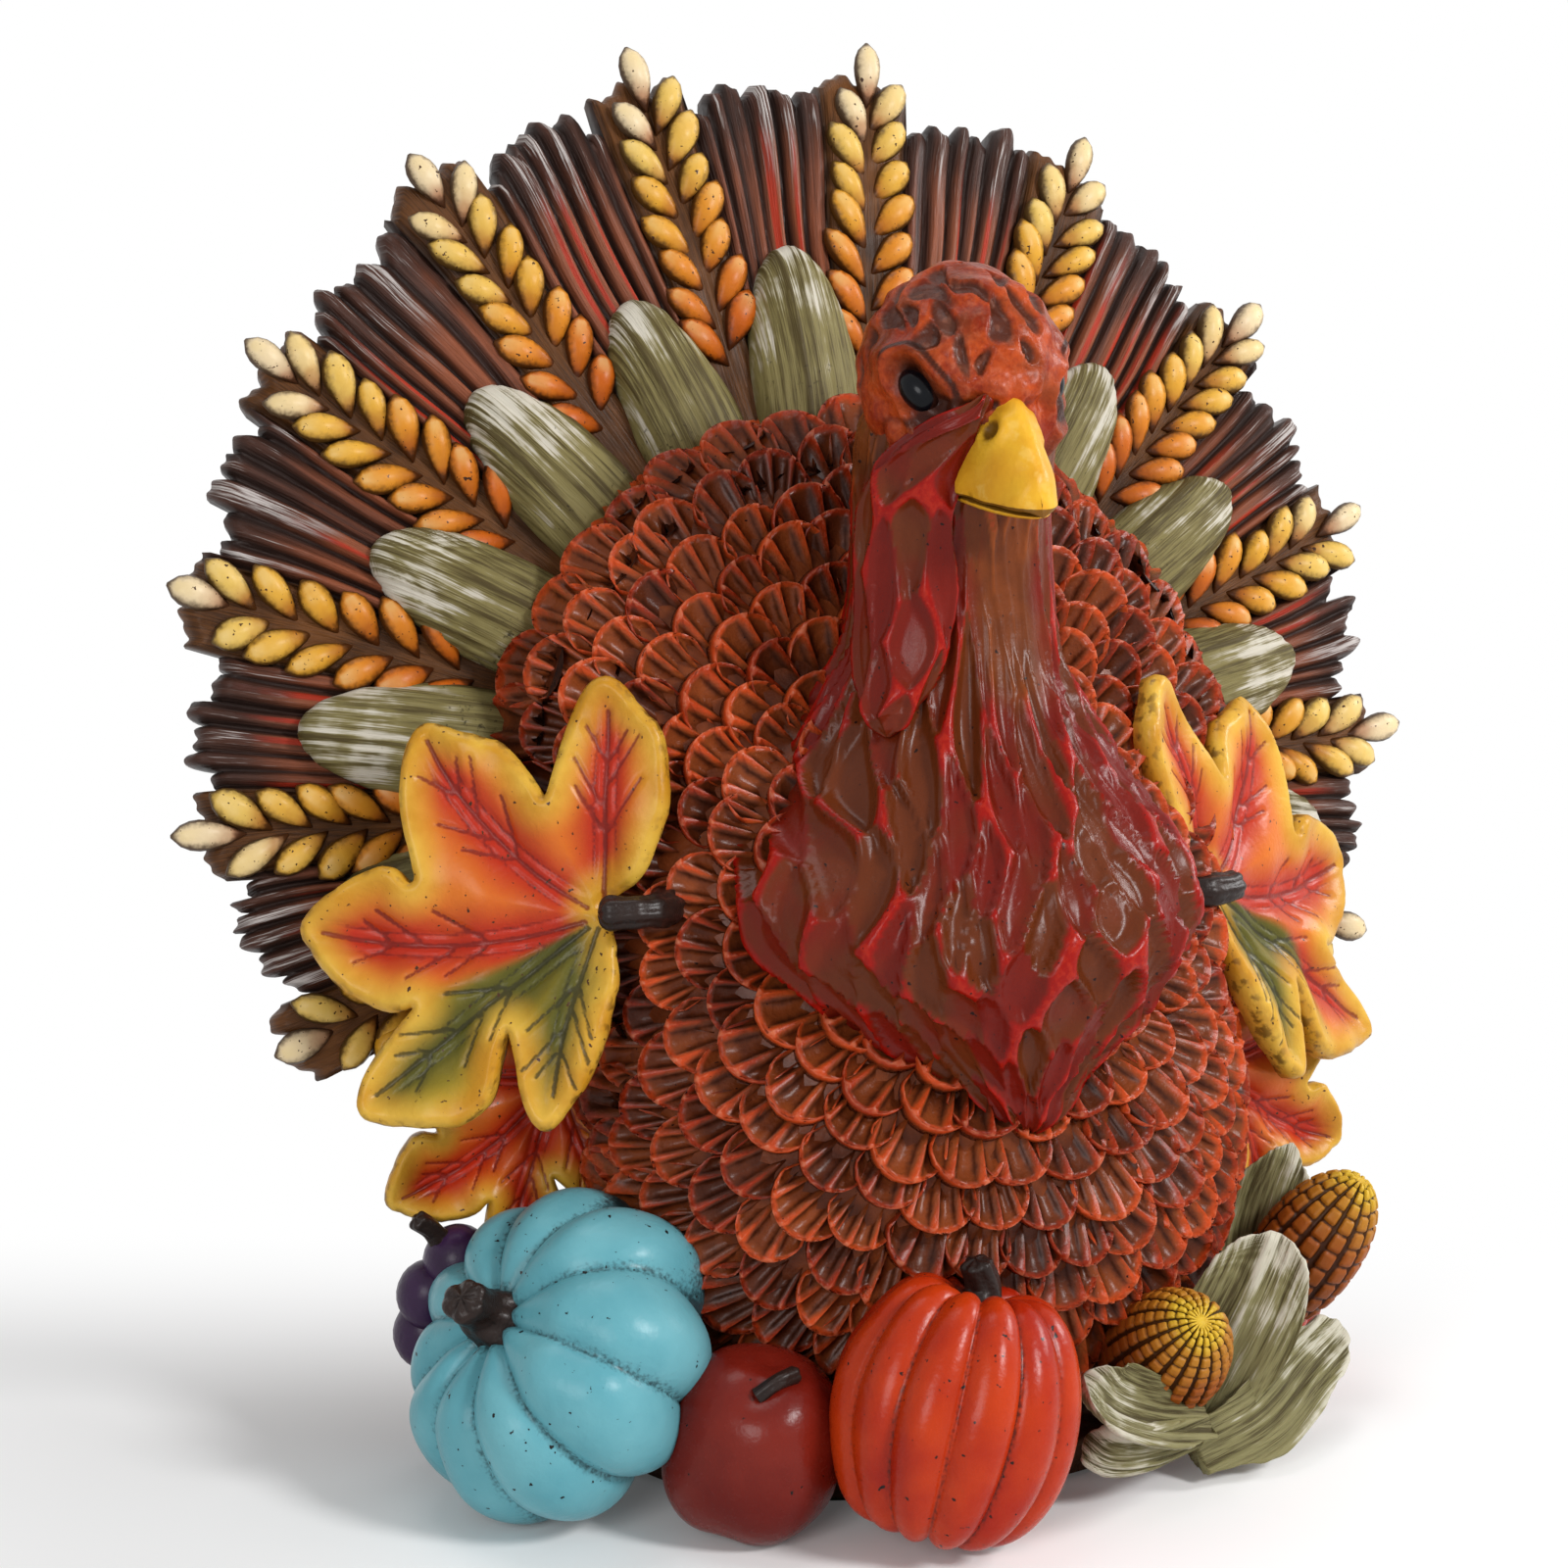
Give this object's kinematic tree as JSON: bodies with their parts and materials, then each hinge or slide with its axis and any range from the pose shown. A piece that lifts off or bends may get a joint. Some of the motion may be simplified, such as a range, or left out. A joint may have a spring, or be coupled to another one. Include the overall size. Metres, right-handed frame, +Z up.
{
  "type": "thanksgiving turkey figure",
  "caption": "Free-standing painted resin turkey ornament with a bark and wheat tail fan, maple-leaf wings and a ring of pumpkins, apple, corn and grapes round its felt-padded base.",
  "frame": {"origin": "on the underside of the felt pad, under the middle of the figure, on the surface that it stands on", "axes": "+Z up, the figure faces -Y, +X to the right in front view"},
  "size_m": [0.242, 0.1545, 0.2396],
  "materials": {
    "feather": "cast resin, brown wash over feathers with orange-red dry-brushed rims, satin varnish",
    "breast": "cast resin, deep red with brown wash in the dimples, glossy varnish",
    "head": "cast resin, rust red with dark brown spots, satin varnish",
    "beak": "cast resin, golden yellow with a brown wash, satin varnish",
    "eye": "black, high gloss",
    "bark": "cast resin, dark brown with red streaks and silver-white dry-brushed tips",
    "wheat": "cast resin, cream tips shading through yellow to orange roots, brown wash",
    "husk": "cast resin, olive green with white dry-brushed streaks",
    "leaf": "cast resin, yellow rims, orange and red lobes and olive lower lobes, satin varnish",
    "stem": "cast resin, near-black brown",
    "teal": "cast resin, turquoise with black wash in the creases, satin varnish",
    "apple": "cast resin, dark red, glossy varnish",
    "orange": "cast resin, red-orange with dark specks, glossy varnish",
    "corn": "cast resin, orange-yellow kernels with brown lines between them",
    "grape": "cast resin, dark purple, satin varnish",
    "ground": "cast resin, plain dark brown",
    "felt": "dark green felt"
  },
  "bodies": {
    "root": {"felt_pad": "felt", "base_plate": "ground", "body_shell": "feather", "neck_and_breast": "breast", "head": "head", "beak_upper": "beak", "beak_lower": "beak", "eye_left": "eye", "eye_right": "eye", "snood": "breast", "tail_fan": "bark", "husk_feather_01": "husk", "husk_feather_02": "husk", "husk_feather_03": "husk", "husk_feather_04": "husk", "husk_feather_05": "husk", "husk_feather_06": "husk", "husk_feather_07": "husk", "husk_feather_08": "husk", "husk_feather_09": "husk", "husk_feather_10": "husk", "husk_feather_11": "husk", "wheat_ear_01": "wheat", "wheat_ear_02": "wheat", "wheat_ear_03": "wheat", "wheat_ear_04": "wheat", "wheat_ear_05": "wheat", "wheat_ear_06": "wheat", "wheat_ear_07": "wheat", "wheat_ear_08": "wheat", "wheat_ear_09": "wheat", "wheat_ear_10": "wheat", "wheat_ear_11": "wheat", "wheat_ear_12": "wheat", "leaf_stem_left": "stem", "leaf_wing_left": "leaf", "lower_leaf_left": "leaf", "leaf_stem_right": "stem", "leaf_wing_right": "leaf", "lower_leaf_right": "leaf", "teal_pumpkin": "teal", "teal_pumpkin_stem": "stem", "orange_pumpkin": "orange", "orange_pumpkin_stem": "stem", "apple": "apple", "apple_stem": "stem", "rear_pumpkin": "orange", "corn_cob_front": "corn", "corn_cob_rear": "corn", "corn_husk_01": "husk", "corn_husk_02": "husk", "corn_husk_03": "husk", "corn_husk_04": "husk", "corn_husk_05": "husk", "grape_cluster": "grape", "grape_stem": "stem"}
  },
  "joints": []
}
